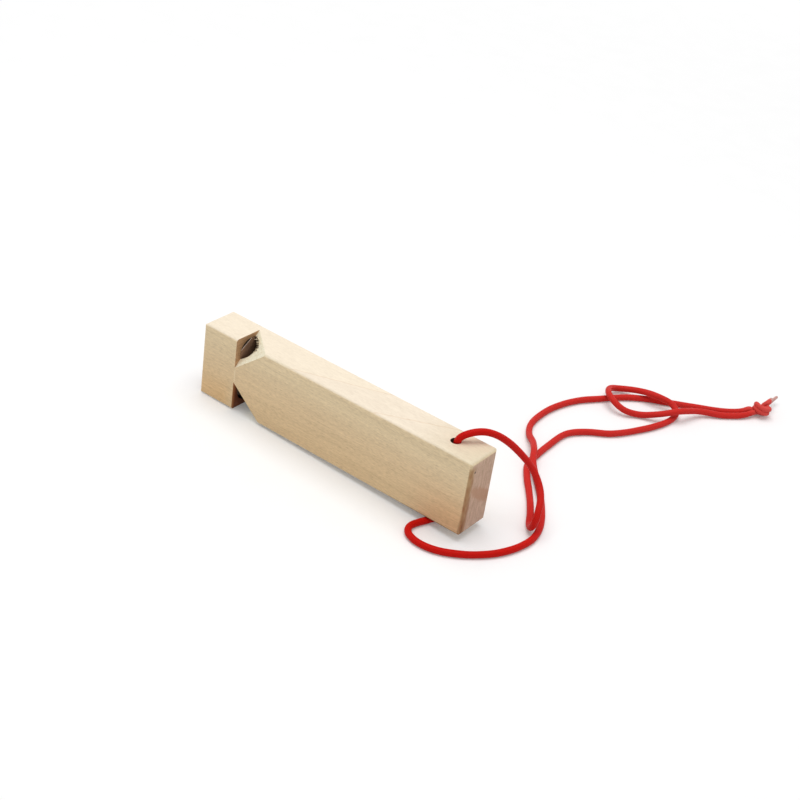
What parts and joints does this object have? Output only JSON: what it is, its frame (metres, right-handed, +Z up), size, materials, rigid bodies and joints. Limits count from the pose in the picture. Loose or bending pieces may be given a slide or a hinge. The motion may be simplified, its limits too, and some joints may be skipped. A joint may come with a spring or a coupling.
{
  "type": "train whistle",
  "caption": "Wooden train whistle: a long rounded block with a mouth end, corner sound windows over drilled chambers, fitted fipple plugs and a knotted neck cord through its far end.",
  "frame": {"origin": "middle of the block's footprint, on the surface that the whistle stands on", "axes": "+X from the mouth end to the cord end, +Y from the face with the windows to the clean back face, +Z up; the cord end is raised by the thickness of the cord under it"},
  "size_m": [0.1708, 0.2055, 0.0402],
  "materials": {
    "block_wood": "fine sanded pale hardwood",
    "plug_wood": "dowel end grain",
    "cord": "satin twisted cord"
  },
  "bodies": {
    "root": {"body": "block_wood", "upper_fipple_plug": "plug_wood", "lower_fipple_plug": "plug_wood", "cord_in_hole": "cord", "cord_under_block": "cord", "cord_upper_strand": "cord", "cord_lower_strand": "cord", "cord_knot": "cord", "cord_tail_ends": "cord"}
  },
  "joints": []
}
